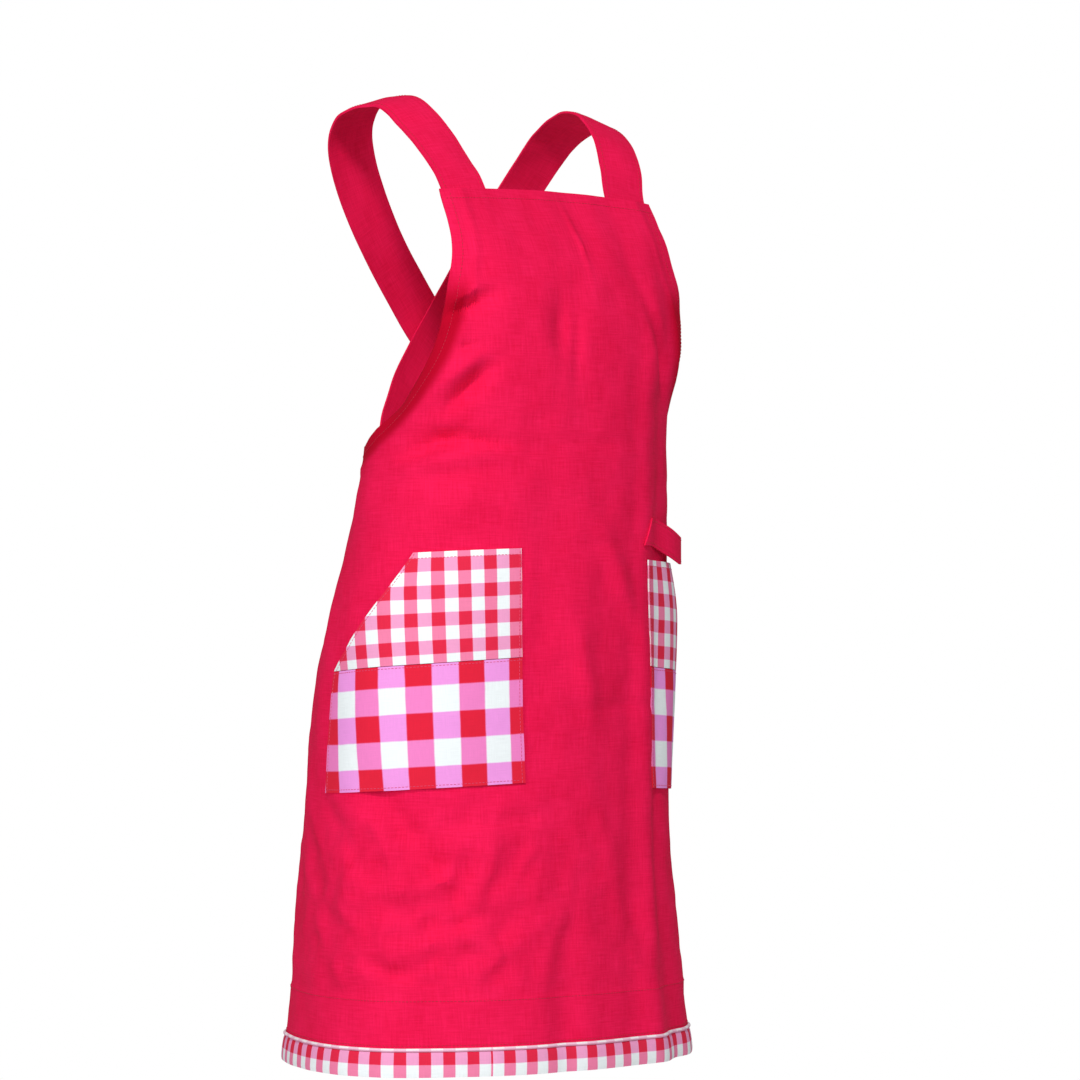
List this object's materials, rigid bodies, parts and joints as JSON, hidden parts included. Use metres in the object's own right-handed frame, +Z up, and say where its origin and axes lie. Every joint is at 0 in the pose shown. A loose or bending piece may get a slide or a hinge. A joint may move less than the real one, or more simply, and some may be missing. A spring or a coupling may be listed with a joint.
{
  "type": "cross back apron",
  "caption": "Red linen pinafore apron with wide shoulder straps that cross at the back, gingham patch pockets, a gingham hem band and a towel loop.",
  "frame": {"origin": "midway between the two shoulder straps, at the height of their crests, where the apron rests on the shoulders", "axes": "+Z up, the wearer faces -Y, +X is the wearer's left"},
  "size_m": [0.406, 0.3181, 0.8846],
  "materials": {
    "red_linen": "plain weave linen, matt",
    "small_gingham": "cotton gingham with checks of about 11.5 mm in red, pink and white",
    "large_gingham": "cotton gingham with checks of about 23 mm in red, pink and white",
    "pink_piping": "folded gingham flange, pink and white"
  },
  "bodies": {
    "root": {"front_panel": "red_linen", "strap_right": "red_linen", "strap_left": "red_linen", "pocket_right_upper": "small_gingham", "pocket_right_lower": "large_gingham", "pocket_left_upper": "small_gingham", "pocket_left_lower": "large_gingham", "hem_band": "small_gingham", "hem_piping": "pink_piping", "towel_loop": "red_linen"}
  },
  "joints": []
}
